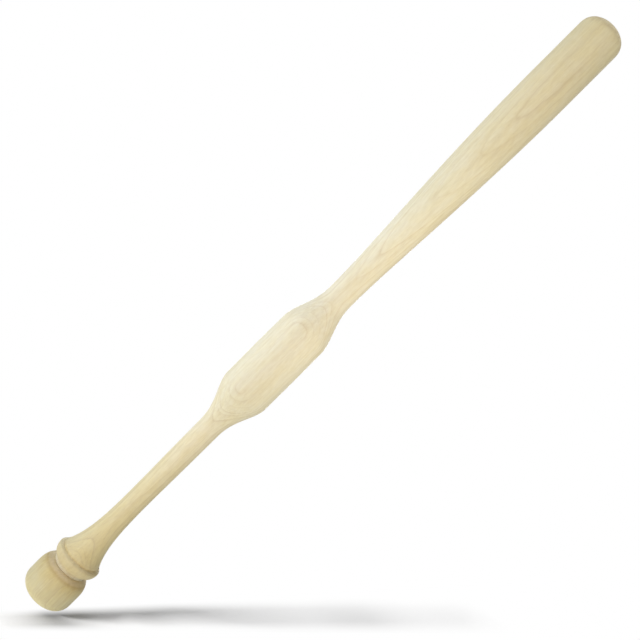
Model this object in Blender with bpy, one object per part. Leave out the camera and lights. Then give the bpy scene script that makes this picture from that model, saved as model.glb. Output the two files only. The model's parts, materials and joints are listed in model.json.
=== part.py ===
"""Baseball training bat: a turned maple bat with a counterweight bulge in front of the hands.

Three pieces lie on one axis, +Z, with the origin in the middle of the flat end face of the end knob:
the billet (bead ring, flare, handle, bulge, waist and barrel in one piece of wood), the end knob under
it, and the double-ended wood screw that holds the knob on the billet's spigot.
"""
import math

import bmesh
import bpy

# Sizes in metres. Heights are stacked upwards from the flat face of the end knob.

# End knob: a drum with a rounded end and a curved shoulder up to the seam.
KNOB_DIAMETER = 0.0569
KNOB_FACE_DIAMETER = 0.0230
KNOB_END_ROUND_HEIGHT = 0.0141
KNOB_SIDE_HEIGHT = 0.0146
KNOB_SHOULDER_HEIGHT = 0.0144
SEAM_DIAMETER = 0.0386

# Bead ring at the foot of the billet: a lip, the bead, and a small rounded rim in the crease between
# the bead and the flare. The bead's crown turns by CROWN_SWEEP before it meets the crease.
LIP_HEIGHT = 0.0042
LIP_ROUND = 0.0004
BEAD_DIAMETER = 0.0529
BEAD_BELLY_HEIGHT = 0.0099
BEAD_CROWN_HEIGHT = 0.0031
CROWN_SWEEP = math.radians(62)
CREASE_DIAMETER = 0.0442
RIM_HEIGHT = 0.0036
RIM_DIAMETER = 0.0449

# Handle, with a flare that falls off by the same share over each FLARE_REACH and has died away after
# FLARE_SPAN of them.
HANDLE_LENGTH = 0.1806
HANDLE_DIAMETER = 0.0210
HANDLE_SWELL = 0.0044
FLARE_DIAMETER = 0.0436
FLARE_REACH = 0.0248
FLARE_SPAN = 4.0

# Counterweight bulge: a rise, a nearly straight middle with a slight crown, and a fall.
BULGE_RISE = 0.0591
BULGE_LENGTH = 0.0819
BULGE_FALL = 0.0565
BULGE_DIAMETER = 0.0558
BULGE_CROWN = 0.0002

# Waist, barrel and its domed tip.
WAIST_LENGTH = 0.0131
WAIST_DIAMETER = 0.0300
TAPER_LENGTH = 0.2972
BARREL_LENGTH = 0.0662
BARREL_DIAMETER = 0.0518
TIP_HEIGHT = 0.0193

# Joint between billet and end knob.
SEAT_GAP = 0.0003
SPIGOT_DIAMETER = 0.0200
SPIGOT_LENGTH = 0.0100
SPIGOT_CHAMFER = 0.0010
SCREW_DIAMETER = 0.0080
SCREW_WAIST_DIAMETER = 0.0062
SCREW_WAIST_LENGTH = 0.0060
SCREW_POINT_LENGTH = 0.0070
SCREW_IN_BILLET = 0.0320
KNOB_END_WALL = 0.0100

# How the curves lean: above 1 a blend stays low for longer, below 1 it climbs early.
RISE_LEAN = 1.33
FALL_LEAN = 1.18
TAPER_LEAN = 0.744
TIP_FLATNESS = 2.14
TIP_CORNER = 2.84

# Facets round the axis, and along the stretches of the outline. Above 1, FLARE_CROWDING gathers the
# flare's steps near the rim.
WOOD_SIDES = 40
SCREW_SIDES = 20
ROUND_STEPS = 6
TIP_STEPS = 10
TAPER_STEPS = 18
BULGE_STEPS = 13
CROWN_STEPS = 4
FLARE_STEPS = 9
FLARE_CROWDING = 1.5
HANDLE_STEPS = 6
SHARP_ANGLE = math.radians(35)
WELD_DISTANCE = 0.000001

# Heights and radii that follow from the sizes.
KNOB_RADIUS = KNOB_DIAMETER / 2
SEAM_RADIUS = SEAM_DIAMETER / 2
KNOB_LENGTH = KNOB_END_ROUND_HEIGHT + KNOB_SIDE_HEIGHT + KNOB_SHOULDER_HEIGHT
BILLET_FOOT = KNOB_LENGTH + SEAT_GAP
BEAD_FOOT = BILLET_FOOT + LIP_HEIGHT
BEAD_BELLY = BEAD_FOOT + BEAD_BELLY_HEIGHT
BEAD_TOP = BEAD_BELLY + BEAD_CROWN_HEIGHT
RIM = BEAD_TOP + RIM_HEIGHT
BULGE_FOOT = RIM + HANDLE_LENGTH
BULGE_LOW = BULGE_FOOT + BULGE_RISE
BULGE_HIGH = BULGE_LOW + BULGE_LENGTH
WAIST_LOW = BULGE_HIGH + BULGE_FALL
WAIST_HIGH = WAIST_LOW + WAIST_LENGTH
TAPER_TOP = WAIST_HIGH + TAPER_LENGTH
BARREL_TOP = TAPER_TOP + BARREL_LENGTH
SPIGOT_END = BILLET_FOOT - SPIGOT_LENGTH
SOCKET_FLOOR = SPIGOT_END - SEAT_GAP
BORE_RADIUS = SCREW_DIAMETER / 2 + SEAT_GAP


def ease(share, lean):
    """A smooth climb from 0 to 1, level at both ends, as share goes from 0 to 1."""
    leaned = min(max(share, 0.0), 1.0) ** lean
    return leaned * leaned * (3 - 2 * leaned)


def spread(start, end, steps):
    """Evenly spaced values from start up to, but not with, end."""
    return [start + (end - start) * i / steps for i in range(steps)]


def round_over(wide, narrow, foot, height, steps, sweep=math.pi / 2):
    """An arc of an ellipse that leaves the wide radius upright and turns by sweep up to the narrow one,
    which a sweep of a quarter turn reaches level."""
    points = []
    for i in range(steps + 1):
        angle = sweep * i / steps
        inwards = (1 - math.cos(angle)) / (1 - math.cos(sweep))
        upwards = math.sin(angle) / math.sin(sweep)
        points.append((wide + (narrow - wide) * inwards, foot + height * upwards))
    return points


def handle_radius(height):
    """Handle, its swell towards the bulge, and the flare down to the rim."""
    swell = HANDLE_SWELL / 2 * ease((height - RIM) / HANDLE_LENGTH, 1.0)
    flare = (FLARE_DIAMETER - HANDLE_DIAMETER) / 2 * math.exp((RIM - height) / FLARE_REACH)
    return HANDLE_DIAMETER / 2 + swell + flare


def bulge_rise_radius(height):
    """From the handle up to the bulge."""
    handle = handle_radius(height)
    return handle + (BULGE_DIAMETER / 2 - handle) * ease((height - BULGE_FOOT) / BULGE_RISE, RISE_LEAN)


def bulge_radius(height):
    """The middle of the bulge, crowned by BULGE_CROWN halfway up."""
    share = (height - BULGE_LOW) / BULGE_LENGTH
    return BULGE_DIAMETER / 2 + BULGE_CROWN * math.sin(math.pi * share)


def bulge_fall_radius(height):
    """From the bulge down to the waist."""
    depth = (BULGE_DIAMETER - WAIST_DIAMETER) / 2
    return WAIST_DIAMETER / 2 + depth * ease((WAIST_LOW - height) / BULGE_FALL, FALL_LEAN)


def barrel_radius(height):
    """From the waist out to the barrel."""
    depth = (BARREL_DIAMETER - WAIST_DIAMETER) / 2
    return WAIST_DIAMETER / 2 + depth * ease((height - WAIST_HIGH) / TAPER_LENGTH, TAPER_LEAN)


def tip_outline():
    """The domed tip, from its side up to the axis: a rounded corner under a shallow crown."""
    points = []
    for i in range(TIP_STEPS + 1):
        across = math.cos(math.pi / 2 * i / TIP_STEPS)
        lift = max(1 - across ** TIP_FLATNESS, 0.0) ** (1 / TIP_CORNER)
        points.append((BARREL_DIAMETER / 2 * across, BARREL_TOP + TIP_HEIGHT * lift))
    return points


def bead_ring_outline():
    """From the seam face up to the rim: lip, bead, crease and the rim under the flare."""
    lip_radius = SEAM_RADIUS + LIP_ROUND
    bead_radius = BEAD_DIAMETER / 2
    rim_radius = RIM_DIAMETER / 2
    points = [(SEAM_RADIUS, BILLET_FOOT)]
    points.append((lip_radius, BILLET_FOOT + LIP_ROUND))
    points.append((lip_radius, BEAD_FOOT - LIP_ROUND))
    points.append((SEAM_RADIUS, BEAD_FOOT))
    belly = round_over(bead_radius, SEAM_RADIUS, BEAD_BELLY, -BEAD_BELLY_HEIGHT, ROUND_STEPS)
    points += belly[-2::-1]
    points += round_over(bead_radius, CREASE_DIAMETER / 2, BEAD_BELLY, BEAD_CROWN_HEIGHT,
                         ROUND_STEPS, CROWN_SWEEP)[1:]
    points.append((rim_radius, BEAD_TOP + RIM_HEIGHT * 0.3))
    points.append((rim_radius, BEAD_TOP + RIM_HEIGHT * 0.7))
    return points


def billet_outline():
    """The whole half outline of the billet, from its bore up the outside to the tip on the axis."""
    spigot_radius = SPIGOT_DIAMETER / 2
    bore_top = SPIGOT_END + SCREW_IN_BILLET
    points = [(0.0, bore_top + SEAT_GAP)]
    points.append((BORE_RADIUS, bore_top - SCREW_POINT_LENGTH + SEAT_GAP))
    points.append((BORE_RADIUS, SPIGOT_END))
    points.append((spigot_radius - SPIGOT_CHAMFER, SPIGOT_END))
    points.append((spigot_radius, SPIGOT_END + SPIGOT_CHAMFER))
    points.append((spigot_radius, BILLET_FOOT))
    points += bead_ring_outline()
    flare_end = min(RIM + FLARE_SPAN * FLARE_REACH, BULGE_FOOT)
    for share in spread(0.0, 1.0, FLARE_STEPS):
        height = RIM + (flare_end - RIM) * share ** FLARE_CROWDING
        points.append((handle_radius(height), height))
    if flare_end < BULGE_FOOT:
        points += [(handle_radius(z), z) for z in spread(flare_end, BULGE_FOOT, HANDLE_STEPS)]
    points += [(bulge_rise_radius(z), z) for z in spread(BULGE_FOOT, BULGE_LOW, BULGE_STEPS)]
    points += [(bulge_radius(z), z) for z in spread(BULGE_LOW, BULGE_HIGH, CROWN_STEPS)]
    points += [(bulge_fall_radius(z), z) for z in spread(BULGE_HIGH, WAIST_LOW, BULGE_STEPS)]
    points.append((WAIST_DIAMETER / 2, WAIST_LOW))
    points += [(barrel_radius(z), z) for z in spread(WAIST_HIGH, TAPER_TOP, TAPER_STEPS)]
    points.append((BARREL_DIAMETER / 2, TAPER_TOP))
    return points + tip_outline()


def knob_outline():
    """Half outline of the end knob, from the bottom of its bore, over the seam, to its end face."""
    socket_radius = SPIGOT_DIAMETER / 2 + SEAT_GAP
    face_radius = KNOB_FACE_DIAMETER / 2
    side_top = KNOB_END_ROUND_HEIGHT + KNOB_SIDE_HEIGHT
    points = [(0.0, KNOB_END_WALL)]
    points.append((BORE_RADIUS, KNOB_END_WALL + SCREW_POINT_LENGTH))
    points.append((BORE_RADIUS, SOCKET_FLOOR))
    points.append((socket_radius, SOCKET_FLOOR))
    points.append((socket_radius, KNOB_LENGTH))
    shoulder = round_over(KNOB_RADIUS, SEAM_RADIUS, side_top, KNOB_SHOULDER_HEIGHT, ROUND_STEPS)
    points += shoulder[::-1]
    points += round_over(KNOB_RADIUS, face_radius, KNOB_END_ROUND_HEIGHT, -KNOB_END_ROUND_HEIGHT,
                         ROUND_STEPS)
    return points


def screw_outline():
    """Half outline of the double-ended screw: two points and a thinner plain waist at the seam."""
    radius = SCREW_DIAMETER / 2
    waist = SCREW_WAIST_DIAMETER / 2
    low = KNOB_END_WALL + SEAT_GAP
    high = SPIGOT_END + SCREW_IN_BILLET
    middle = SPIGOT_END
    step = (SCREW_DIAMETER - SCREW_WAIST_DIAMETER) / 2
    return [
        (0.0, low),
        (radius, low + SCREW_POINT_LENGTH),
        (radius, middle - SCREW_WAIST_LENGTH / 2 - step),
        (waist, middle - SCREW_WAIST_LENGTH / 2),
        (waist, middle + SCREW_WAIST_LENGTH / 2),
        (radius, middle + SCREW_WAIST_LENGTH / 2 + step),
        (radius, high - SCREW_POINT_LENGTH),
        (0.0, high),
    ]


def finish(name, colour, roughness, metallic):
    """A plain finish with its colour, roughness and metallic value."""
    material = bpy.data.materials.new(name)
    material.use_nodes = True
    shader = material.node_tree.nodes["Principled BSDF"]
    shader.inputs["Base Color"].default_value = (*colour, 1.0)
    shader.inputs["Roughness"].default_value = roughness
    shader.inputs["Metallic"].default_value = metallic
    return material


def turn(name, outline, sides, material):
    """Turns a half outline once round the axis and closes a flat end with one face."""
    mesh_data = bmesh.new()
    verts = [mesh_data.verts.new((radius, 0.0, height)) for radius, height in outline]
    edges = [mesh_data.edges.new(pair) for pair in zip(verts, verts[1:])]
    bmesh.ops.spin(mesh_data, geom=verts + edges, cent=(0, 0, 0), axis=(0, 0, 1),
                   angle=math.tau, steps=sides, use_merge=True)
    bmesh.ops.remove_doubles(mesh_data, verts=mesh_data.verts, dist=WELD_DISTANCE)
    rims = [edge for edge in mesh_data.edges if edge.is_boundary]
    if rims:
        bmesh.ops.holes_fill(mesh_data, edges=rims, sides=0)
    bmesh.ops.recalc_face_normals(mesh_data, faces=mesh_data.faces)
    mesh = bpy.data.meshes.new(name)
    mesh_data.to_mesh(mesh)
    mesh_data.free()
    mesh.shade_smooth()
    mesh.set_sharp_from_angle(angle=SHARP_ANGLE)
    mesh.materials.append(material)
    piece = bpy.data.objects.new(name, mesh)
    bpy.context.collection.objects.link(piece)
    return piece


def main():
    """Builds the three pieces."""
    for old in list(bpy.data.objects):
        bpy.data.objects.remove(old, do_unlink=True)
    pale_maple = finish("pale_maple", (0.66, 0.53, 0.33), 0.45, 0.0)
    knob_maple = finish("knob_maple", (0.60, 0.47, 0.27), 0.50, 0.0)
    zinc_steel = finish("zinc_steel", (0.60, 0.60, 0.62), 0.35, 1.0)
    turn("bat_billet", billet_outline(), WOOD_SIDES, pale_maple)
    turn("end_knob", knob_outline(), WOOD_SIDES, knob_maple)
    turn("dowel_screw", screw_outline(), SCREW_SIDES, zinc_steel)


main()
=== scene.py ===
"""Baseball training bat: a turned maple bat with a counterweight bulge in front of the hands.

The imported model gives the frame: metres, +Z along the bat, the origin in the middle of the end knob's
flat face. Each of its three solids is stood for by a finely worked skin with its own wood or metal.
"""
import json
import math

import bpy
import numpy as np
from bpy.props import FloatProperty, FloatVectorProperty, PointerProperty
from mathutils import Matrix, Vector

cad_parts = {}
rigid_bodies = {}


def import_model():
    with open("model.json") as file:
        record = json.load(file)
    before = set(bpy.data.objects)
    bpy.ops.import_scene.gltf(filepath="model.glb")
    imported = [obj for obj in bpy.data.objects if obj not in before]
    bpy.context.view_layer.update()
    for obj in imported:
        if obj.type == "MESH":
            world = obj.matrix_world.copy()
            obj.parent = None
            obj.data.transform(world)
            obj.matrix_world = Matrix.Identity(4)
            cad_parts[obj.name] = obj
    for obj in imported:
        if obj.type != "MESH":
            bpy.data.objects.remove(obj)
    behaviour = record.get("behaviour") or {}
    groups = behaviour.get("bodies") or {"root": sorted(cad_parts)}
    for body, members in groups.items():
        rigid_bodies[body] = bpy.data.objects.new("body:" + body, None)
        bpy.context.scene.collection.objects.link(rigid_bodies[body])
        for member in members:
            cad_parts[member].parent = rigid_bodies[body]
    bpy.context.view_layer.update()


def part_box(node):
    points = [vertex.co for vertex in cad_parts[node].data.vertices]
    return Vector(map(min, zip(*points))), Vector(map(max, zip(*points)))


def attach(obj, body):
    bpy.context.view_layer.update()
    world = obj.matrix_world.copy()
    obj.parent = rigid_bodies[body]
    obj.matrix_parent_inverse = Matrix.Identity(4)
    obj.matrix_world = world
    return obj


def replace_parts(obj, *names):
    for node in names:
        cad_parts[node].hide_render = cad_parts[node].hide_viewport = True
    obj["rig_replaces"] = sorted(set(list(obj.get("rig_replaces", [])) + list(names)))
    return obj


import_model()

bl_info = {
    "name": "Baseball Training Bat",
    "version": (1, 0, 0),
    "blender": (4, 5, 0),
    "location": "3D View > Sidebar > Training Bat",
    "description": "Turns a maple training bat and sets it up in a pale studio",
    "category": "Object",
}

KNOB_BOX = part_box("end_knob")
BILLET_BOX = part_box("bat_billet")
SCREW_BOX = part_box("dowel_screw")

# How the curves of the billet lean: above 1 a blend stays low for longer, below 1 it climbs early.
RISE_LEAN = 1.33
FALL_LEAN = 1.18
TAPER_LEAN = 0.744
TIP_FLATNESS = 2.14
TIP_CORNER = 2.84

# Columns round the axis, and rows along the stretches of an outline.
WOOD_SIDES = 160
SCREW_SIDES = 48
EDGE_STEPS = 4
RIM_STEPS = 6
ROUND_STEPS = 14
KNOB_STEPS = 20
FLARE_STEPS = 46
HANDLE_STEPS = 16
BULGE_STEPS = 30
CROWN_STEPS = 16
TAPER_STEPS = 60
BARREL_STEPS = 8
TIP_STEPS = 30
THREAD_STEPS = 220
FLARE_CROWDING = 1.5
SHARP_ANGLE = math.radians(35)

# Slope of an outline, as the sine of its angle, from which the wood begins to show end grain.
END_GRAIN_SLOPE = 0.6

# Screw: share of a turn that the thread's ridge takes, and width left at the very points.
RIDGE_SHARE = 0.55
POINT_SHARE = 0.02

# Lamps that light the bat alone: name, place, size, tint and level on the bat, where 1 is plain.
LAMP_AIM_HEIGHT = 0.43
SOFTBOXES = (
    ("left_low", (-0.23, -1.30, 0.05), (0.40, 0.30), (1.00, 0.88, 0.82), 0.41),
    ("left_near", (-0.41, -0.11, 0.44), (0.40, 0.50), (0.72, 0.815, 1.00), 1.03),
    ("right_near", (0.20, -0.14, 0.47), (0.25, 0.35), (1.00, 0.96, 0.89), 0.665),
    ("right_high", (0.20, -0.53, 0.93), (0.30, 0.30), (1.00, 0.96, 0.96), 0.095),
    ("rear", (0.00, 2.05, 0.50), (1.20, 0.80), (0.95, 0.98, 1.00), 0.40),
    ("above_tip", (0.00, 0.03, 1.12), (0.25, 0.25), (1.00, 0.97, 0.90), 0.08),
)

# Strip of floor that shows the bat's shadow. Its middle and its half width are each given at y = 0 and
# per metre of y, and it fades to white between two multiples of that half width.
SHADOW_MIDDLE = (0.0355, 0.531)
SHADOW_WIDTH = (0.0125, 0.034)
SHADOW_FADE = (0.15, 1.5)

# White mixed into the shadow at least, and the distance at which the floor is half white by itself.
LEAST_WHITE = 0.17
HALF_WHITE_REACH = 12.0

# Contact shade under the knob: two places in y, and the exponent of the occlusion at each.
SHADE_PLACES = (0.030, -0.010)
SHADE_EXPONENTS = (1.7, 2.9)

FLOOR_HALF = 30.0
SENSOR_WIDTH = 36.0
CAMERA_CLIP = (0.01, 100.0)

# Colour of the wood by height, as red, green and blue light: greyer in the taper, yellower in the grip.
# The pale lip at 0.045 under the bead is painted light, set against the shade of its recess.
BILLET_TONES_AND_LIGHT = (
    (0.045, (0.95, 0.88, 0.68)),
    (0.049, (0.90, 0.78, 0.50)),
    (0.070, (0.97, 0.84, 0.50)),
    (0.130, (0.94, 0.82, 0.51)),
    (0.230, (0.96, 0.86, 0.61)),
    (0.300, (0.88, 0.81, 0.61)),
    (0.450, (0.87, 0.80, 0.62)),
    (0.580, (0.82, 0.75, 0.55)),
    (0.740, (0.90, 0.80, 0.55)),
    (0.838, (0.88, 0.78, 0.51)),
)
# Colour of the knob by height: the dark band at 0.036 to 0.039 on the shoulder is partly browner end
# grain and partly painted shade under the bead, and the wood is paler again by the seam.
KNOB_TONES_AND_SHADE = (
    (0.020, (0.90, 0.81, 0.52)),
    (0.036, (0.87, 0.73, 0.39)),
    (0.039, (0.73, 0.57, 0.28)),
    (0.043, (0.94, 0.82, 0.56)),
)

# Pith line, lean of the grain, seed, tones with painted light and shade, share of end grain and darker
# streak of each turned piece.
# A streak is its place across the bat, its lowest and highest end, and its strength.
BILLET_WOOD = ((0.012, 0.1058), (0.010, 0.006, 0.0), 0.0, BILLET_TONES_AND_LIGHT, 0.2,
               (0.0055, -0.0255, 0.735, 0.825, 0.16))
KNOB_WOOD = ((-0.075, 0.045), (0.02, -0.01, 0.0), 5.0, KNOB_TONES_AND_SHADE, 0.4,
             (0.0135, -0.0250, -0.02, 0.06, 0.25))
STREAK_CORE = 0.0008
STREAK_EDGE = 0.0026
STREAK_FADE = 0.02

# How clearly the rings show by height: fainter on the flare, in the bulge's middle and at the tip.
RING_SHARES = ((0.043, 1.0), (0.062, 0.6), (0.090, 1.0), (0.300, 1.0), (0.320, 0.4), (0.365, 0.4),
               (0.382, 1.0), (0.740, 1.0), (0.800, 0.5))

# Tone across one ring: pale early wood that darkens slowly and ends in a thin late line.
RING_TONES = ((0.00, 0.45), (0.07, 0.08), (0.25, 0.00), (0.62, 0.12), (0.88, 0.50), (0.955, 1.00),
              (1.00, 0.45))

# How unevenly the rings are spaced, and the strength of the faintest of them.
RING_WANDER = 2.2
FAINTEST_RING = 0.35

# Noise cells per metre across the grain and along it, for each figure of the wood.
DRIFT_CELLS = (16.0, 16.0, 2.6)
SHIVER_CELLS = (170.0, 170.0, 45.0)
FIBRE_CELLS = (290.0, 290.0, 7.0)
HAIR_CELLS = (1500.0, 1500.0, 45.0)
SPOT_CELLS = (430.0, 430.0, 110.0)
PATCH_CELLS = (130.0, 130.0, 60.0)
CLOUD_CELLS = (26.0, 26.0, 5.0)
MINERAL_CELLS = (70.0, 70.0, 3.2)
PORE_CELLS = (620.0, 620.0, 85.0)
END_CELLS = (900.0, 900.0, 60.0)

# How far the slow and the quick noise move the grain sideways.
DRIFT_REACH = 0.016
SHIVER_REACH = 0.0006

# Colours that the wood is multiplied by under a full figure, and the strength of the two dark ones.
FIBRE_SHADE = (0.90, 0.86, 0.78)
HAIR_SHADE = (0.86, 0.82, 0.74)
SPOT_SHADE = (0.90, 0.88, 0.83)
PATCH_SHADE = (1.00, 0.99, 0.945)
MINERAL_STRENGTH = 0.22
PORE_STRENGTH = 0.30

# Surface of the wood: specular level, extra roughness of end grain, and the relief of its fibres.
WOOD_SPECULAR = 0.18
END_ROUGHNESS = 0.15
RELIEF_STRENGTH = 0.35
RELIEF_HEIGHT = 0.00004

# Zinc: its two tones, and the cells per metre of its clouds and of its rolling marks.
BRIGHT_ZINC = (0.62, 0.62, 0.63)
YELLOW_ZINC = (0.66, 0.63, 0.52)
ZINC_CLOUD_CELLS = (180.0, 180.0, 180.0)
ROLLING_CELLS = (600.0, 600.0, 2600.0)
ROLLING_STRENGTH = 0.3
ROLLING_HEIGHT = 0.00003

MIDDLE_GREY = (0.5, 0.5, 0.5)
ACROSS = (1.0, 1.0, 0.0)
WHITE = (1.0, 1.0, 1.0, 1.0)

# Joint between the billet and the end knob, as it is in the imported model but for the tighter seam.
SEAM_GAP = 0.0001
SEAT_GAP = 0.0003
SPIGOT_RADIUS = 0.0100
SPIGOT_CHAMFER = 0.0010
BORE_RADIUS = 0.0043
BORE_POINT = 0.0070


def length(name, description, default):
    """A size in metres."""
    return FloatProperty(name=name, description=description, default=default, min=0.0, precision=4,
                         step=0.01, unit="LENGTH", subtype="DISTANCE")


def colour(name, description, default):
    """A colour, as its red, green and blue light."""
    return FloatVectorProperty(name=name, description=description, default=default, size=3,
                               min=0.0, max=1.0, subtype="COLOR")


def share(name, description, default, top=1.0):
    """A plain number from 0 to top."""
    return FloatProperty(name=name, description=description, default=default, min=0.0, max=top,
                         precision=3)


def angle(name, description, degrees):
    """An angle, given in degrees."""
    return FloatProperty(name=name, description=description, default=math.radians(degrees),
                         unit="ROTATION", subtype="ANGLE")


class BilletSizes(bpy.types.PropertyGroup):
    """Sizes of the billet, from the seam to the tip."""
    seam_diameter: length("Seam diameter", "Width of the foot of the billet", 0.0386)
    lip_height: length("Lip height", "Lip under the bead", 0.0042)
    lip_round: length("Lip round", "Rounding of the lip's two edges", 0.0002)
    bead_diameter: length("Bead diameter", "Widest place of the bead ring", 0.0529)
    bead_belly: length("Bead belly", "Height of the bead below its widest place", 0.0099)
    bead_crown: length("Bead crown", "Height of the bead above its widest place", 0.0031)
    crown_sweep: angle("Crown sweep", "How far the crown turns before it meets the crease", 62.0)
    crease_diameter: length("Crease diameter", "Crease between bead and rim", 0.0442)
    rim_height: length("Rim height", "Small rounded rim at the foot of the flare", 0.0036)
    rim_diameter: length("Rim diameter", "Widest place of the rim", 0.0449)
    rim_sweep: angle("Rim sweep", "How far the rim turns on both sides", 60.0)
    handle_length: length("Handle length", "From the rim to the foot of the bulge", 0.1806)
    handle_diameter: length("Handle diameter", "Grip without its swell and its flare", 0.0210)
    handle_swell: length("Handle swell", "How much wider the grip gets towards the bulge", 0.0044)
    flare_diameter: length("Flare diameter", "Foot of the flare", 0.0436)
    flare_reach: length("Flare reach", "Height in which the flare falls to 37 percent", 0.0248)
    bulge_rise: length("Bulge rise", "Length of the climb from the handle", 0.0591)
    bulge_length: length("Bulge length", "Nearly straight middle of the bulge", 0.0819)
    bulge_fall: length("Bulge fall", "Length of the drop to the waist", 0.0565)
    bulge_diameter: length("Bulge diameter", "Width at both ends of the bulge's middle", 0.0558)
    bulge_crown: length("Bulge crown", "Extra radius halfway up the bulge", 0.0002)
    waist_length: length("Waist length", "Straight stretch above the bulge", 0.0131)
    waist_diameter: length("Waist diameter", "Thinnest place above the bulge", 0.0300)
    taper_length: length("Taper length", "From the waist out to the barrel", 0.2972)
    barrel_diameter: length("Barrel diameter", "Width of the barrel", 0.0518)
    tip_height: length("Tip height", "Height of the domed tip", 0.0193)


class KnobSizes(bpy.types.PropertyGroup):
    """Sizes of the end knob, from its flat face to the seam."""
    diameter: length("Diameter", "Width of the drum", KNOB_BOX[1].x - KNOB_BOX[0].x)
    face_diameter: length("Face diameter", "Width of the flat end face", 0.0230)
    end_round: length("End round", "Height of the rounded end", 0.0141)
    side_height: length("Side height", "Straight side of the drum", 0.0146)


class ScrewSizes(bpy.types.PropertyGroup):
    """Sizes of the double-ended wood screw inside the joint."""
    crest_diameter: length("Crest diameter", "Width over the thread", SCREW_BOX[1].x - SCREW_BOX[0].x)
    core_diameter: length("Core diameter", "Width between the turns of the thread", 0.0058)
    shank_diameter: length("Shank diameter", "Plain middle", 0.0062)
    shank_length: length("Shank length", "Length of the plain middle", 0.0070)
    pitch: length("Pitch", "Height of one turn of the thread", 0.0030)
    point_length: length("Point length", "Length of each tapered point", 0.0070)


class MapleLook(bpy.types.PropertyGroup):
    """Colours and grain of the maple."""
    wood_tint: colour("Wood tint", "Colour that all of the wood is multiplied by", (1.0, 1.0, 1.0))
    warm_cloud: colour("Warm clouds", "Colour that warmer clouds are multiplied by", (0.965, 0.95, 0.91))
    ring_line: colour("Ring line", "Late wood at the edge of a growth ring", (0.640, 0.485, 0.280))
    streak_wood: colour("Streak", "Darker mineral streaks along the grain", (0.520, 0.350, 0.190))
    cut_across: colour("End grain", "Wood that is cut across the grain", (0.500, 0.395, 0.245))
    ring_spacing: length("Ring spacing", "Width of a growth ring", 0.0030)
    ring_strength: share("Ring strength", "How clearly the ring lines show", 0.45)
    fibre_strength: share("Fibre strength", "How clearly the fibres show", 0.44)
    mottle_strength: share("Mottle strength", "How clearly the short flecks show", 0.42)
    roughness: share("Roughness", "Gloss of the sanded and sealed wood", 0.48)


class StageSetup(bpy.types.PropertyGroup):
    """Floor, lamps and camera."""
    floor_white: colour("Floor", "Colour of the floor", (0.63, 0.66, 0.615))
    sun_level: share("Sun level", "Light of the low sun on the floor, where 1 is plain", 0.70, 4.0)
    sun_side: angle("Sun side", "How far left of the camera the sun stands", 31.6)
    sun_height: angle("Sun height", "Height of the sun above the horizon", 16.6)
    sun_angle: angle("Sun angle", "Width of the sun, which softens the shadow", 7.2)
    haze_level: share("Haze level", "Light of the wide bright haze on the floor", 0.27, 4.0)
    haze_side: angle("Haze side", "How far left of the camera the haze stands", 58.0)
    haze_height: angle("Haze height", "Height of the haze above the horizon", 37.2)
    haze_angle: angle("Haze angle", "Width of the haze, which softens the shadow more", 51.0)
    contact_reach: length("Contact reach", "How far round the knob the floor is darker", 0.08)
    room_level: share("Room level", "Light of the room all round", 0.03, 4.0)
    camera_place: FloatVectorProperty(
        name="Camera place", description="Where the camera stands", size=3, unit="LENGTH",
        subtype="TRANSLATION", default=(0.0022, -0.8039, 0.4098))
    camera_roll: FloatProperty(
        name="Camera roll", description="Turn of the camera about its line of sight",
        default=math.radians(-45.055), unit="ROTATION", subtype="ANGLE")
    focal_length: FloatProperty(
        name="Focal length", description="Lens on a sensor 36 mm wide", default=43.3125,
        min=1.0, unit="CAMERA")


class TrainingBatSettings(bpy.types.PropertyGroup):
    """Everything that the panel shows."""
    billet: PointerProperty(type=BilletSizes)
    knob: PointerProperty(type=KnobSizes)
    screw: PointerProperty(type=ScrewSizes)
    maple: PointerProperty(type=MapleLook)
    stage: PointerProperty(type=StageSetup)


def ease(part, lean):
    """Climb from 0 to 1, level at both ends: with s = part to the power lean, 3 s s - 2 s s s."""
    leaned = np.clip(part, 0.0, 1.0) ** lean
    return leaned ** 2 * (3 - 2 * leaned)


def round_over(wide, narrow, foot, height, steps, sweep=math.pi / 2):
    """Arc of an ellipse: with s = sweep, radius = wide + (narrow - wide) (1 - cos a) / (1 - cos s) and
    height = foot + height sin a / sin s, for a from 0 to s."""
    turn = np.linspace(0.0, sweep, steps + 1)
    inwards = (1 - np.cos(turn)) / (1 - math.cos(sweep))
    return np.column_stack((wide + (narrow - wide) * inwards,
                            foot + height * np.sin(turn) / math.sin(sweep)))


def bead_ring_outline(sizes, foot):
    """Outline of the bead ring from the seam up to the foot of the flare: two quarter circles for the
    lip, a quarter ellipse for the bead's belly, and arcs for its crown and for both sides of the rim."""
    seam = sizes.seam_diameter / 2
    lip = seam + sizes.lip_round
    bead = sizes.bead_diameter / 2
    rim = sizes.rim_diameter / 2
    crease = sizes.crease_diameter / 2
    half_rim = sizes.rim_height / 2
    bead_foot = foot + sizes.lip_height
    belly_height = bead_foot + sizes.bead_belly
    rim_middle = belly_height + sizes.bead_crown + half_rim
    lip_low = round_over(lip, seam, foot + sizes.lip_round, -sizes.lip_round, EDGE_STEPS)
    lip_high = round_over(lip, seam, bead_foot - sizes.lip_round, sizes.lip_round, EDGE_STEPS)
    belly = round_over(bead, seam, belly_height, -sizes.bead_belly, ROUND_STEPS)
    crown = round_over(bead, crease, belly_height, sizes.bead_crown, ROUND_STEPS, sizes.crown_sweep)
    rim_low = round_over(rim, crease, rim_middle, -half_rim, RIM_STEPS, sizes.rim_sweep)
    rim_high = round_over(rim, sizes.flare_diameter / 2, rim_middle, half_rim, RIM_STEPS, sizes.rim_sweep)
    return np.vstack((lip_low[::-1], lip_high, belly[-2::-1], crown[1:], rim_low[-2::-1], rim_high[1:]))


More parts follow.
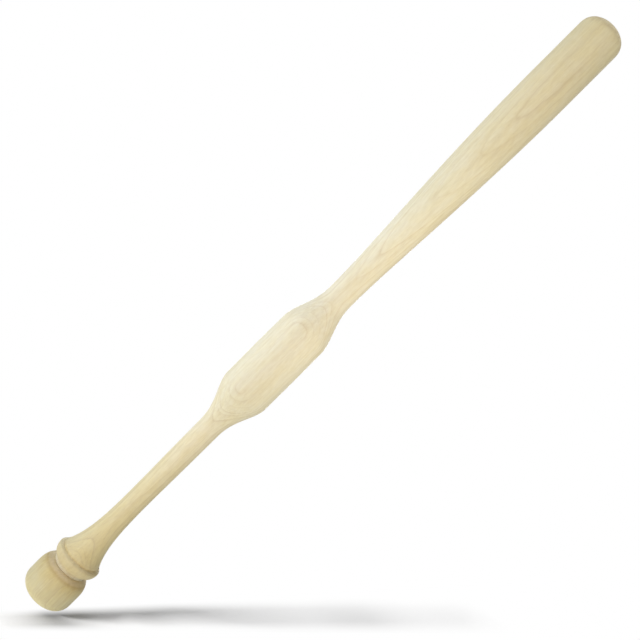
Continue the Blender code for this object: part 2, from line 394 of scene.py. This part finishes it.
def shaft_radius(height, rim_height, sizes):
    """Radius of the billet above the rim. The handle is a constant, a slight swell and a flare that
    dies away as exp(-h / reach). A blend lifts it to the bulge, whose crown is a sine squared, and two
    more blends drop it to the waist and open it to the barrel."""
    bulge_foot = rim_height + sizes.handle_length
    bulge_low = bulge_foot + sizes.bulge_rise
    bulge_high = bulge_low + sizes.bulge_length
    waist_low = bulge_high + sizes.bulge_fall
    waist_high = waist_low + sizes.waist_length
    swell = sizes.handle_swell / 2 * ease((height - rim_height) / sizes.handle_length, 1.0)
    flare = (sizes.flare_diameter - sizes.handle_diameter) / 2
    handle = sizes.handle_diameter / 2 + swell + flare * np.exp((rim_height - height) / sizes.flare_reach)
    bulge = sizes.bulge_diameter / 2
    waist = sizes.waist_diameter / 2
    barrel = sizes.barrel_diameter / 2
    rise = handle + (bulge - handle) * ease((height - bulge_foot) / sizes.bulge_rise, RISE_LEAN)
    crown = bulge + sizes.bulge_crown * np.sin(math.pi * (height - bulge_low) / sizes.bulge_length) ** 2
    fall = waist + (bulge - waist) * ease((waist_low - height) / sizes.bulge_fall, FALL_LEAN)
    taper = waist + (barrel - waist) * ease((height - waist_high) / sizes.taper_length, TAPER_LEAN)
    return np.select([height < bulge_low, height < bulge_high, height < waist_high],
                     [rise, crown, fall], taper)


def shaft_outline(sizes, rim_height, barrel_top):
    """Heights from the rim to the top of the barrel, closest at the rim, with their radii."""
    stretches = (
        (sizes.handle_length / 2, FLARE_STEPS, FLARE_CROWDING),
        (sizes.handle_length / 2, HANDLE_STEPS, 1.0),
        (sizes.bulge_rise, BULGE_STEPS, 1.0),
        (sizes.bulge_length, CROWN_STEPS, 1.0),
        (sizes.bulge_fall, BULGE_STEPS, 1.0),
        (sizes.waist_length, EDGE_STEPS, 1.0),
        (sizes.taper_length, TAPER_STEPS, 1.0),
    )
    heights = []
    foot = rim_height
    for reach, steps, crowding in stretches:
        heights.append(foot + reach * (np.arange(steps) / steps) ** crowding)
        foot += reach
    heights.append(np.linspace(foot, barrel_top, BARREL_STEPS + 1))
    height = np.concatenate(heights)
    return np.column_stack((shaft_radius(height, rim_height, sizes), height))


def tip_outline(sizes, barrel_top):
    """Domed tip, a rounded corner under a shallow crown: radius = R cos a and height = H (1 - cos a to
    the power of the flatness) to the power of 1 over the corner."""
    across = np.cos(np.linspace(0.0, math.pi / 2, TIP_STEPS + 1))
    lift = np.clip(1 - across ** TIP_FLATNESS, 0.0, 1.0) ** (1 / TIP_CORNER)
    return np.column_stack((sizes.barrel_diameter / 2 * across, barrel_top + sizes.tip_height * lift))


def billet_outline(sizes):
    """Half outline of the billet: up from the bottom of the screw's bore on the axis, over the spigot
    and the seam face, and along the outside to the tip."""
    foot = KNOB_BOX[1].z + SEAM_GAP
    spigot_end = BILLET_BOX[0].z
    bore_top = SCREW_BOX[1].z
    rim_height = foot + sizes.lip_height + sizes.bead_belly + sizes.bead_crown + sizes.rim_height
    barrel_top = BILLET_BOX[1].z - sizes.tip_height
    joint = np.array([
        (0.0, bore_top + SEAT_GAP),
        (BORE_RADIUS, bore_top - BORE_POINT + SEAT_GAP),
        (BORE_RADIUS, spigot_end),
        (SPIGOT_RADIUS - SPIGOT_CHAMFER, spigot_end),
        (SPIGOT_RADIUS, spigot_end + SPIGOT_CHAMFER),
        (SPIGOT_RADIUS, foot),
    ])
    return np.vstack((joint, bead_ring_outline(sizes, foot),
                      shaft_outline(sizes, rim_height, barrel_top)[1:],
                      tip_outline(sizes, barrel_top)[1:]))


def knob_outline(sizes, seam_radius):
    """Half outline of the end knob: out over the flat face, up the quarter ellipse of the rounded end,
    the side and the quarter ellipse of the shoulder, and down the socket and the bore to the axis."""
    radius = sizes.diameter / 2
    height = KNOB_BOX[1].z
    side_top = sizes.end_round + sizes.side_height
    socket_floor = BILLET_BOX[0].z - SEAT_GAP
    bore_floor = SCREW_BOX[0].z - SEAT_GAP
    socket_radius = SPIGOT_RADIUS + SEAT_GAP
    rounded_end = round_over(radius, sizes.face_diameter / 2, sizes.end_round, -sizes.end_round,
                             KNOB_STEPS)
    shoulder = round_over(radius, seam_radius, side_top, height - side_top, KNOB_STEPS)
    joint = np.array([
        (socket_radius, height),
        (socket_radius, socket_floor),
        (BORE_RADIUS, socket_floor),
        (BORE_RADIUS, bore_floor + BORE_POINT),
        (0.0, bore_floor),
    ])
    return np.vstack(([(0.0, 0.0)], rounded_end[::-1], shoulder, joint))


def lay_skin(name, rings, poles):
    """A closed skin round the axis: rings is an array of rings by columns by 3, joined by four-sided
    faces, and a fan joins the first and the last ring to its pole. Faces point away from the wood."""
    count, sides = rings.shape[:2]
    points = np.vstack((poles[0], rings.reshape(-1, 3), poles[1]))
    here = 1 + np.arange(count * sides).reshape(count, sides)
    after = np.roll(here, -1, axis=1)
    bands = np.stack((here[:-1], after[:-1], after[1:], here[1:]), axis=-1).reshape(-1, 4)
    foot_fan = np.stack((np.zeros(sides, int), after[0], here[0]), axis=-1)
    top_fan = np.stack((here[-1], after[-1], np.full(sides, len(points) - 1)), axis=-1)
    mesh = bpy.data.meshes.new(name)
    mesh.from_pydata(points.tolist(), [], bands.tolist() + foot_fan.tolist() + top_fan.tolist())
    mesh.shade_smooth()
    mesh.set_sharp_from_angle(angle=SHARP_ANGLE)
    return mesh


def turned_skin(name, outline, sides):
    """Skin of a half outline turned round the axis: x = r cos t, y = r sin t, z = height. Its attribute
    end_grain says how far each ring is cut across the grain, from the slope of the outline."""
    radius, height = outline[1:-1].T
    turn = np.arange(sides) * math.tau / sides
    rings = np.stack((np.outer(radius, np.cos(turn)), np.outer(radius, np.sin(turn)),
                      np.repeat(height[:, None], sides, axis=1)), axis=-1)
    poles = [(0.0, 0.0, outline[0, 1]), (0.0, 0.0, outline[-1, 1])]
    mesh = lay_skin(name, rings, poles)
    step_out, step_up = np.gradient(outline, axis=0).T
    slope = np.abs(step_out) / np.hypot(step_out, step_up)
    across = ease((slope - END_GRAIN_SLOPE) / (1 - END_GRAIN_SLOPE), 1.0)
    values = np.concatenate((across[:1], np.repeat(across[1:-1], sides), across[-1:]))
    grain = mesh.attributes.new("end_grain", "FLOAT", "POINT")
    grain.data.foreach_set("value", values.astype(np.float32))
    return mesh


def threaded_skin(name, sizes):
    """Skin of the double-ended screw: the radius is the core plus a peaked ridge of (height / pitch -
    turn) modulo 1, plain on the shank and shrunk towards both points."""
    low = SCREW_BOX[0].z
    high = SCREW_BOX[1].z
    height = np.linspace(low, high, THREAD_STEPS + 1)[1:-1, None]
    turn = np.arange(SCREW_SIDES) * math.tau / SCREW_SIDES
    phase = (height / sizes.pitch - turn / math.tau) % 1.0
    ridge = np.clip(1 - np.abs(2 * phase - 1) / RIDGE_SHARE, 0.0, 1.0)
    core = sizes.core_diameter / 2
    thread = core + (sizes.crest_diameter / 2 - core) * ridge
    from_middle = np.abs(height - BILLET_BOX[0].z) - sizes.shank_length / 2
    run_out = ease(from_middle / sizes.pitch, 1.0)
    body = sizes.shank_diameter / 2 * (1 - run_out) + thread * run_out
    to_point = np.minimum(height - low, high - height) / sizes.point_length
    radius = body * np.clip(to_point, POINT_SHARE, 1.0)
    rings = np.stack((radius * np.cos(turn), radius * np.sin(turn), height + 0 * radius), axis=-1)
    return lay_skin(name, rings, [(0.0, 0.0, low), (0.0, 0.0, high)])


class Recipe:
    """A material's nodes, with short calls that add a node and join its inputs."""

    def __init__(self, name):
        self.material = bpy.data.materials.new(name)
        self.material.use_nodes = True
        self.tree = self.material.node_tree
        self.shader = self.tree.nodes["Principled BSDF"]
        self.place = self.node("TexCoord").outputs["Object"]

    def join(self, socket, value):
        """Links value to a socket, or sets it there if it is a plain value."""
        if isinstance(value, bpy.types.NodeSocket):
            self.tree.links.new(value, socket)
        else:
            socket.default_value = value

    def node(self, kind, inputs=None, **settings):
        """A new node with its settings and inputs."""
        node = self.tree.nodes.new("ShaderNode" + kind)
        for name, value in settings.items():
            setattr(node, name, value)
        for name, value in (inputs or {}).items():
            self.join(node.inputs[name], value)
        return node

    def maths(self, operation, *values):
        """One step of arithmetic."""
        node = self.node("Math", operation=operation)
        for socket, value in zip(node.inputs, values):
            self.join(socket, value)
        return node.outputs[0]

    def vectors(self, operation, *values, output="Vector"):
        """One step of vector arithmetic."""
        node = self.node("VectorMath", operation=operation)
        for socket, value in zip(node.inputs, values):
            self.join(socket, value)
        return node.outputs[output]

    def fit(self, value, low, high, to_low=0.0, to_high=1.0, smooth=True):
        """Maps low..high to to_low..to_high, held at both ends."""
        kind = "SMOOTHSTEP" if smooth else "LINEAR"
        node = self.node("MapRange", {"Value": value, "From Min": low, "From Max": high,
                                      "To Min": to_low, "To Max": to_high},
                         interpolation_type=kind)
        return node.outputs["Result"]

    def noise(self, place, scale, detail=2.0, roughness=0.5, shift=(0.0, 0.0, 0.0), output="Fac"):
        """Smooth noise on place, with scale cells per metre along each axis."""
        moved = self.node("Mapping", {"Vector": place, "Location": shift, "Scale": scale})
        node = self.node("TexNoise", {"Vector": moved.outputs["Vector"], "Scale": 1.0,
                                      "Detail": detail, "Roughness": roughness})
        return node.outputs[output]

    def blend(self, amount, under, over, kind="MIX"):
        """Colour over on colour under by amount."""
        node = self.node("Mix", data_type="RGBA", blend_type=kind)
        self.join(node.inputs[0], amount)
        self.join(node.inputs[6], under if isinstance(under, bpy.types.NodeSocket) else (*under, 1.0))
        self.join(node.inputs[7], over if isinstance(over, bpy.types.NodeSocket) else (*over, 1.0))
        return node.outputs[2]

    def ramp(self, value, stops):
        """Blends the colours of a table of places from 0 to 1 and colours."""
        node = self.node("ValToRGB", {"Fac": value})
        elements = node.color_ramp.elements
        while len(elements) < len(stops):
            elements.new(0.5)
        for element, (place, tone) in zip(elements, stops):
            element.position = place
            element.color = (*tone, 1.0)
        return node.outputs["Color"]

    def relief(self, height, strength, distance):
        """Gives the surface a relief that is too fine for the mesh."""
        bump = self.node("Bump", {"Height": height, "Strength": strength, "Distance": distance})
        self.join(self.shader.inputs["Normal"], bump.outputs["Normal"])


def greys(table):
    """A table of places and plain numbers, with each number as a grey."""
    return [(place, (tone, tone, tone)) for place, tone in table]


def by_height(recipe, height, table):
    """Blends the colours of a table of heights and colours, held at both ends."""
    low = table[0][0]
    high = table[-1][0]
    stops = [((place - low) / (high - low), tone) for place, tone in table]
    return recipe.ramp(recipe.fit(height, low, high, smooth=False), stops)


def warp_grain(wood, shift):
    """Places in the wood, moved sideways by a slow drift along the bat and by a small quick shiver."""
    moved = wood.place
    for cells, detail, reach in ((DRIFT_CELLS, 1.5, DRIFT_REACH), (SHIVER_CELLS, 1.0, SHIVER_REACH)):
        noise = wood.noise(wood.place, cells, detail, 0.5, shift, "Color")
        centred = wood.vectors("SUBTRACT", noise, MIDDLE_GREY)
        moved = wood.vectors("ADD", moved, wood.vectors("MULTIPLY", centred, (reach, reach, 0.0)))
    return moved


def growth_rings(wood, look, warped, pith, lean):
    """Rings as shells about the pith line, unevenly spaced. Gives the tone across each ring, and the
    share of the late wood's colour, which differs from ring to ring."""
    about_pith = wood.node("Mapping", {"Vector": warped, "Location": (-pith[0], -pith[1], 0.0),
                                       "Rotation": lean})
    flat = wood.vectors("MULTIPLY", about_pith.outputs["Vector"], ACROSS)
    count = wood.maths("DIVIDE", wood.vectors("LENGTH", flat, output="Value"), look.ring_spacing)
    uneven = wood.node("TexNoise", {"W": count, "Scale": 0.45, "Detail": 1.0},
                       noise_dimensions="1D").outputs["Fac"]
    phase = wood.maths("MULTIPLY_ADD", uneven, RING_WANDER, count)
    ring = wood.ramp(wood.maths("FRACT", phase), greys(RING_TONES))
    depth = wood.node("TexNoise", {"W": phase, "Scale": 0.7, "Detail": 0.0},
                      noise_dimensions="1D").outputs["Fac"]
    shown = wood.maths("MULTIPLY", ring, wood.fit(depth, 0.25, 0.75, FAINTEST_RING, 1.0))
    return ring, wood.maths("MULTIPLY", shown, look.ring_strength)


def placed_streak(wood, warped, height, streak):
    """Share of one dark streak: full in its core, gone at its edge and faded at both ends."""
    x, y, low, high, strength = streak
    flat = wood.vectors("MULTIPLY", warped, ACROSS)
    beside = wood.vectors("DISTANCE", flat, (x, y, 0.0), output="Value")
    ends = wood.maths("MULTIPLY", wood.fit(height, low, low + STREAK_FADE),
                      wood.fit(height, high, high - STREAK_FADE))
    return wood.maths("MULTIPLY", wood.fit(beside, STREAK_EDGE, STREAK_CORE, 0.0, strength), ends)


def maple(name, look, pith, lean, seed, tones_and_light, end_grain, streak):
    """Sanded maple in the tones of a table of heights, which also carry painted light and shade. Over
    them lie clouds, growth rings about a pith line beside the bat, fibres, flecks and patches of noise
    drawn out along the bat, pores, mineral streaks and one streak in a set place. End grain is browner
    and rougher."""
    wood = Recipe(name)
    shift = (seed, 2 * seed, 3 * seed)
    height = wood.node("SeparateXYZ", {"Vector": wood.place}).outputs["Z"]
    warped = warp_grain(wood, shift)
    ring, ring_share = growth_rings(wood, look, warped, pith, lean)
    ring_share = wood.maths("MULTIPLY", ring_share, by_height(wood, height, greys(RING_SHARES)))

    coarse = wood.noise(warped, FIBRE_CELLS, 2.0, 0.55, shift)
    fine = wood.noise(wood.place, HAIR_CELLS, 2.0, 0.6, shift)
    spots = wood.noise(wood.place, SPOT_CELLS, 1.0, 0.6, shift)
    patches = wood.noise(wood.place, PATCH_CELLS, 2.0, 0.6, shift)
    clouds = wood.noise(warped, CLOUD_CELLS, 2.0, 0.5, shift)
    minerals = wood.noise(warped, MINERAL_CELLS, 1.0, 0.5, (seed + 7.0, 0.0, seed))
    cells = wood.noise(wood.place, END_CELLS, 2.0, 0.6)
    pores = wood.node("Mapping", {"Vector": wood.place, "Scale": PORE_CELLS, "Location": shift})
    pore = wood.node("TexVoronoi", {"Vector": pores.outputs["Vector"], "Scale": 1.0}).outputs["Distance"]
    grain = wood.node("Attribute", attribute_name="end_grain").outputs["Fac"]

    fibre = wood.maths("MULTIPLY", wood.fit(coarse, 0.38, 0.72), look.fibre_strength)
    hair = wood.maths("MULTIPLY", wood.fit(fine, 0.40, 0.75), 0.5 * look.fibre_strength)
    spot = wood.maths("MULTIPLY", wood.fit(spots, 0.32, 0.68), look.mottle_strength)
    mineral = wood.maths("MULTIPLY", wood.fit(minerals, 0.66, 0.80), MINERAL_STRENGTH)
    in_fibre = wood.maths("MULTIPLY", wood.fit(pore, 0.20, 0.05), wood.fit(coarse, 0.52, 0.64))
    layers = (
        (1.0, look.wood_tint, "MULTIPLY"),
        (wood.fit(clouds, 0.35, 0.68), look.warm_cloud, "MULTIPLY"),
        (ring_share, look.ring_line, "MIX"),
        (fibre, FIBRE_SHADE, "MULTIPLY"),
        (hair, HAIR_SHADE, "MULTIPLY"),
        (spot, SPOT_SHADE, "MULTIPLY"),
        (wood.fit(patches, 0.38, 0.62), PATCH_SHADE, "MULTIPLY"),
        (mineral, look.streak_wood, "MIX"),
        (wood.maths("MULTIPLY", in_fibre, PORE_STRENGTH), look.streak_wood, "MIX"),
        (placed_streak(wood, warped, height, streak), look.streak_wood, "MIX"),
        (wood.maths("MULTIPLY", grain, wood.fit(cells, 0.3, 0.7, 0.6 * end_grain, end_grain)),
         look.cut_across, "MIX"),
    )
    base = by_height(wood, height, tones_and_light)
    for amount, tone, kind in layers:
        base = wood.blend(amount, base, tone, kind)
    wood.join(wood.shader.inputs["Base Color"], base)

    gloss = wood.maths("MULTIPLY_ADD", coarse, 0.10, look.roughness - 0.05)
    wood.join(wood.shader.inputs["Roughness"], wood.maths("MULTIPLY_ADD", grain, END_ROUGHNESS, gloss))
    wood.shader.inputs["Specular IOR Level"].default_value = WOOD_SPECULAR
    worn = wood.maths("ADD", wood.maths("MULTIPLY", fine, 0.6), wood.maths("MULTIPLY", ring, -0.4))
    wood.relief(worn, RELIEF_STRENGTH, RELIEF_HEIGHT)
    return wood.material


def zinc_steel():
    """Zinc-plated steel: bright metal with faint cloudy passivation and fine rolling marks."""
    metal = Recipe("zinc_steel")
    clouds = metal.noise(metal.place, ZINC_CLOUD_CELLS, 2.0)
    marks = metal.noise(metal.place, ROLLING_CELLS, 2.0)
    base = metal.blend(metal.fit(clouds, 0.35, 0.7), BRIGHT_ZINC, YELLOW_ZINC)
    metal.join(metal.shader.inputs["Base Color"], base)
    metal.shader.inputs["Metallic"].default_value = 1.0
    metal.join(metal.shader.inputs["Roughness"], metal.fit(marks, 0.2, 0.8, 0.26, 0.42))
    metal.relief(marks, ROLLING_STRENGTH, ROLLING_HEIGHT)
    return metal.material


def add_piece(context, mesh, material, node):
    """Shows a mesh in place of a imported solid, riding on the one body."""
    piece = bpy.data.objects.new(mesh.name, mesh)
    mesh.materials.append(material)
    context.scene.collection.objects.link(piece)
    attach(piece, "root")
    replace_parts(piece, node)


def add_lamp(context, data, place, aim, lit):
    """Hangs a lamp at place, turned to its aim, and lets it light the objects of one collection."""
    lamp = bpy.data.objects.new(data.name, data)
    lamp.location = place
    lamp.rotation_euler = (Vector(aim) - Vector(place)).to_track_quat("-Z", "Y").to_euler()
    lamp.light_linking.receiver_collection = lit
    lamp.visible_camera = False
    context.scene.collection.objects.link(lamp)


def add_softbox(context, name, place, size, tint, level, lit):
    """A soft lamp for the bat, with the power that lights a white surface at its aim to level."""
    aim = Vector((0.0, 0.0, LAMP_AIM_HEIGHT))
    data = bpy.data.lights.new(name, "AREA")
    data.shape = "RECTANGLE"
    data.size, data.size_y = size
    data.color = tint
    data.energy = level * math.pi ** 2 * (aim - Vector(place)).length_squared
    add_lamp(context, data, place, aim, lit)


def add_sun(context, name, level, side, height, width, lit):
    """A far lamp for the floor, with the power that lights it to level."""
    data = bpy.data.lights.new(name, "SUN")
    data.energy = level * math.pi / math.sin(height)
    data.angle = width
    place = (-math.sin(side) * math.cos(height), -math.cos(side) * math.cos(height), math.sin(height))
    add_lamp(context, data, place, (0.0, 0.0, 0.0), lit)


def lit_by(name, pieces):
    """A collection of the objects that some lamps light."""
    lit = bpy.data.collections.new(name)
    for piece in pieces:
        lit.objects.link(piece)
    return lit


def seen_rays(tree):
    """1 for rays from the camera, or from gloss and glass, and 0 for the light that the stage gives."""
    path = tree.nodes.new("ShaderNodeLightPath")
    seen = path.outputs["Is Camera Ray"]
    for other in ("Is Glossy Ray", "Is Transmission Ray"):
        both = tree.nodes.new("ShaderNodeMath")
        both.operation = "MAXIMUM"
        tree.links.new(seen, both.inputs[0])
        tree.links.new(path.outputs[other], both.inputs[1])
        seen = both.outputs[0]
    return seen


def floor_material(setup):
    """White floor. Seen, it shows the bat's shadow in a strip that fades to plain white at its sides and
    far away, with a contact shade under the knob, which is the ambient occlusion to a power that
    changes with y. As a source of light it is plain."""
    floor = Recipe("floor_white")
    tree = floor.tree
    tree.nodes.remove(floor.shader)
    plain = floor.node("BsdfDiffuse", {"Color": (*setup.floor_white, 1.0)})
    white = floor.node("Emission", {"Color": WHITE, "Strength": 1.0})
    distance = floor.vectors("LENGTH", floor.place, output="Value")
    away = floor.maths("DIVIDE", distance, floor.maths("ADD", distance, HALF_WHITE_REACH))
    along = floor.node("SeparateXYZ", {"Vector": floor.place}).outputs
    middle = floor.maths("MULTIPLY_ADD", along["Y"], SHADOW_MIDDLE[1], SHADOW_MIDDLE[0])
    aside = floor.maths("ABSOLUTE", floor.maths("SUBTRACT", along["X"], middle))
    width = floor.maths("MULTIPLY_ADD", along["Y"], SHADOW_WIDTH[1], SHADOW_WIDTH[0])
    beside = floor.fit(floor.maths("DIVIDE", aside, width), *SHADOW_FADE)
    white_share = floor.maths("MAXIMUM", floor.maths("MAXIMUM", away, beside), LEAST_WHITE)
    near = floor.node("MixShader", {0: white_share})
    contact = floor.node("AmbientOcclusion", {"Distance": setup.contact_reach}).outputs["AO"]
    power = floor.fit(along["Y"], *SHADE_PLACES, *SHADE_EXPONENTS)
    bright = floor.node("BsdfDiffuse", {"Color": floor.maths("POWER", contact, power)})
    tree.links.new(bright.outputs[0], near.inputs[1])
    tree.links.new(white.outputs[0], near.inputs[2])
    shown = floor.node("MixShader", {0: seen_rays(tree)})
    tree.links.new(plain.outputs[0], shown.inputs[1])
    tree.links.new(near.outputs[0], shown.inputs[2])
    tree.links.new(shown.outputs[0], tree.nodes["Material Output"].inputs["Surface"])
    return floor.material


def white_room(context, setup):
    """A white background, and a faint even light from all round."""
    world = bpy.data.worlds.new("white_room")
    world.use_nodes = True
    tree = world.node_tree
    lit = tree.nodes["Background"]
    lit.inputs["Color"].default_value = WHITE
    lit.inputs["Strength"].default_value = setup.room_level
    seen = tree.nodes.new("ShaderNodeBackground")
    seen.inputs["Color"].default_value = WHITE
    seen.inputs["Strength"].default_value = 1.0
    choose = tree.nodes.new("ShaderNodeMixShader")
    tree.links.new(seen_rays(tree), choose.inputs[0])
    tree.links.new(lit.outputs[0], choose.inputs[1])
    tree.links.new(seen.outputs[0], choose.inputs[2])
    tree.links.new(choose.outputs[0], tree.nodes["World Output"].inputs["Surface"])
    context.scene.world = world


class TRAINING_BAT_OT_billet(bpy.types.Operator):
    """Turn the billet: bead ring, handle, bulge, waist, barrel and tip in one piece of maple"""
    bl_idname = "training_bat.billet"
    bl_label = "Turn the Billet"

    def execute(self, context):
        settings = context.scene.training_bat
        mesh = turned_skin("turned_billet", billet_outline(settings.billet), WOOD_SIDES)
        wood = maple("pale_maple", settings.maple, *BILLET_WOOD)
        add_piece(context, mesh, wood, "bat_billet")
        return {"FINISHED"}


class TRAINING_BAT_OT_end_knob(bpy.types.Operator):
    """Turn the end knob that is screwed on under the bead ring"""
    bl_idname = "training_bat.end_knob"
    bl_label = "Turn the End Knob"

    def execute(self, context):
        settings = context.scene.training_bat
        outline = knob_outline(settings.knob, settings.billet.seam_diameter / 2)
        mesh = turned_skin("turned_end_knob", outline, WOOD_SIDES)
        wood = maple("knob_maple", settings.maple, *KNOB_WOOD)
        add_piece(context, mesh, wood, "end_knob")
        return {"FINISHED"}


class TRAINING_BAT_OT_dowel_screw(bpy.types.Operator):
    """Cut the double-ended wood screw that holds the end knob"""
    bl_idname = "training_bat.dowel_screw"
    bl_label = "Cut the Dowel Screw"

    def execute(self, context):
        mesh = threaded_skin("threaded_dowel_screw", context.scene.training_bat.screw)
        add_piece(context, mesh, zinc_steel(), "dowel_screw")
        return {"FINISHED"}


class TRAINING_BAT_OT_stage(bpy.types.Operator):
    """Lay the floor, hang the lamps and place the camera"""
    bl_idname = "training_bat.stage"
    bl_label = "Set the Stage"

    def execute(self, context):
        setup = context.scene.training_bat.stage
        mesh = bpy.data.meshes.new("studio_floor")
        corners = ((-FLOOR_HALF, -FLOOR_HALF, 0.0), (FLOOR_HALF, -FLOOR_HALF, 0.0),
                   (FLOOR_HALF, FLOOR_HALF, 0.0), (-FLOOR_HALF, FLOOR_HALF, 0.0))
        mesh.from_pydata(corners, [], [(0, 1, 2, 3)])
        mesh.materials.append(floor_material(setup))
        floor = bpy.data.objects.new("studio_floor", mesh)
        context.scene.collection.objects.link(floor)

        bat = lit_by("lit_by_softboxes", [o for o in context.scene.objects if "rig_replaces" in o])
        for name, place, size, tint, level in SOFTBOXES:
            add_softbox(context, name, place, size, tint, level, bat)
        ground = lit_by("lit_by_sun", [floor])
        add_sun(context, "low_sun", setup.sun_level, setup.sun_side, setup.sun_height,
                setup.sun_angle, ground)
        add_sun(context, "wide_haze", setup.haze_level, setup.haze_side, setup.haze_height,
                setup.haze_angle, ground)
        white_room(context, setup)

        data = bpy.data.cameras.new("camera")
        data.sensor_fit = "HORIZONTAL"
        data.sensor_width = SENSOR_WIDTH
        data.lens = setup.focal_length
        data.clip_start, data.clip_end = CAMERA_CLIP
        camera = bpy.data.objects.new("camera", data)
        level = Matrix.Rotation(math.radians(90), 4, "X")
        roll = Matrix.Rotation(setup.camera_roll, 4, "Y")
        camera.matrix_world = Matrix.Translation(setup.camera_place) @ roll @ level
        context.scene.collection.objects.link(camera)
        context.scene.camera = camera
        context.scene.view_settings.view_transform = "Standard"
        return {"FINISHED"}


class TRAINING_BAT_PT_panel(bpy.types.Panel):
    """Settings and steps of the training bat"""
    bl_idname = "TRAINING_BAT_PT_panel"
    bl_label = "Training Bat"
    bl_space_type = "VIEW_3D"
    bl_region_type = "UI"
    bl_category = "Training Bat"

    def draw(self, context):
        settings = context.scene.training_bat
        steps = ((settings.billet, TRAINING_BAT_OT_billet), (settings.knob, TRAINING_BAT_OT_end_knob),
                 (settings.screw, TRAINING_BAT_OT_dowel_screw), (settings.maple, None),
                 (settings.stage, TRAINING_BAT_OT_stage))
        for group, operator in steps:
            box = self.layout.box()
            for name in group.__annotations__:
                box.prop(group, name)
            if operator is not None:
                box.operator(operator.bl_idname)


CLASSES = (BilletSizes, KnobSizes, ScrewSizes, MapleLook, StageSetup, TrainingBatSettings,
           TRAINING_BAT_OT_billet, TRAINING_BAT_OT_end_knob, TRAINING_BAT_OT_dowel_screw,
           TRAINING_BAT_OT_stage, TRAINING_BAT_PT_panel)


def register():
    """Adds the classes and the scene's settings."""
    for kind in CLASSES:
        bpy.utils.register_class(kind)
    bpy.types.Scene.training_bat = PointerProperty(type=TrainingBatSettings)


def unregister():
    """Takes them away again."""
    del bpy.types.Scene.training_bat
    for kind in reversed(CLASSES):
        bpy.utils.unregister_class(kind)


def main():
    """Makes every piece and the stage."""
    register()
    bpy.ops.training_bat.billet()
    bpy.ops.training_bat.end_knob()
    bpy.ops.training_bat.dowel_screw()
    bpy.ops.training_bat.stage()


if __name__ == "__main__":
    main()
